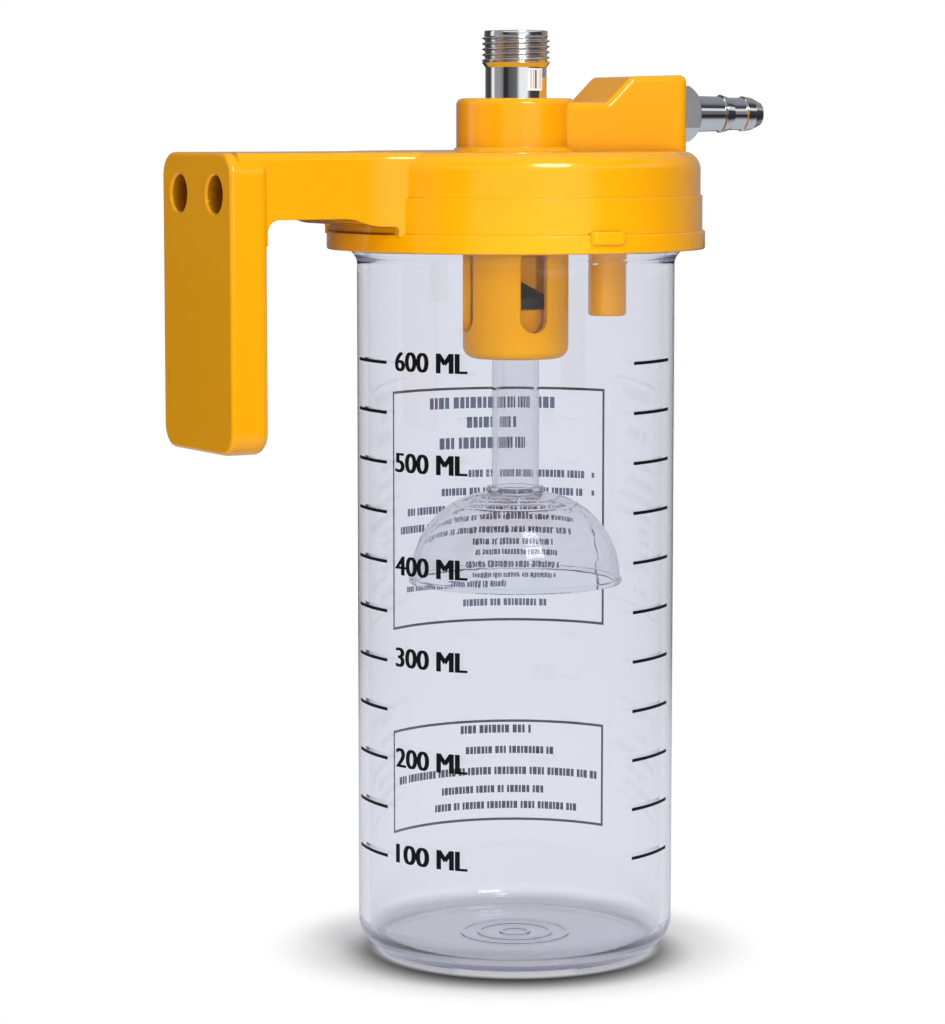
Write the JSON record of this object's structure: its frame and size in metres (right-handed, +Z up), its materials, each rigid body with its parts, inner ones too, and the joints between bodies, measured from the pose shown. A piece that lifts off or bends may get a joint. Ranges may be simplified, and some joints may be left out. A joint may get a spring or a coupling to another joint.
{
  "type": "suction canister",
  "caption": "Clear cylindrical suction jar with a yellow one-piece lid, hanging plate, chrome vacuum stud, hose tail and a float shut-off valve inside.",
  "frame": {"origin": "on the jar's axis, in the plane of its feet", "axes": "+Z up along the jar's axis, -X along the hanging arm towards the wall plate, hose tail near +X"},
  "size_m": [0.1527, 0.0954, 0.2273],
  "materials": {
    "clear_jar": "clear polycarbonate, polished",
    "clear_float": "clear acrylic, polished",
    "yellow_plastic": "glossy moulded",
    "white_plastic": "smooth",
    "plated_metal": "polished chrome plate",
    "black_rubber": "smooth moulded"
  },
  "bodies": {
    "jar": {"jar": "clear_jar"},
    "gasket": {"jar_gasket": "black_rubber"},
    "lid": {"lid": "yellow_plastic", "vacuum_stud": "plated_metal", "stud_nut": "plated_metal", "stud_washer": "black_rubber", "hose_barb": "plated_metal", "barb_washer": "black_rubber", "float_cage": "yellow_plastic", "valve_seat": "white_plastic"},
    "float": {"valve_plunger": "yellow_plastic", "valve_seal": "black_rubber", "float_stem": "clear_float", "float_dome": "clear_float"}
  },
  "joints": [
    {"name": "lid_lift", "type": "slide", "parent": "jar", "child": "gasket", "axis": [0, 0, 1], "range_m": [0, 0.115]},
    {"name": "lid_turn", "type": "hinge", "parent": "gasket", "child": "lid", "pos_m": [0, 0, 0.194], "axis": [0, 0, -1], "range_deg": [0, 55]},
    {"name": "float_rise", "type": "slide", "parent": "lid", "child": "float", "axis": [0, 0, 1], "range_m": [0, 0.015]}
  ]
}
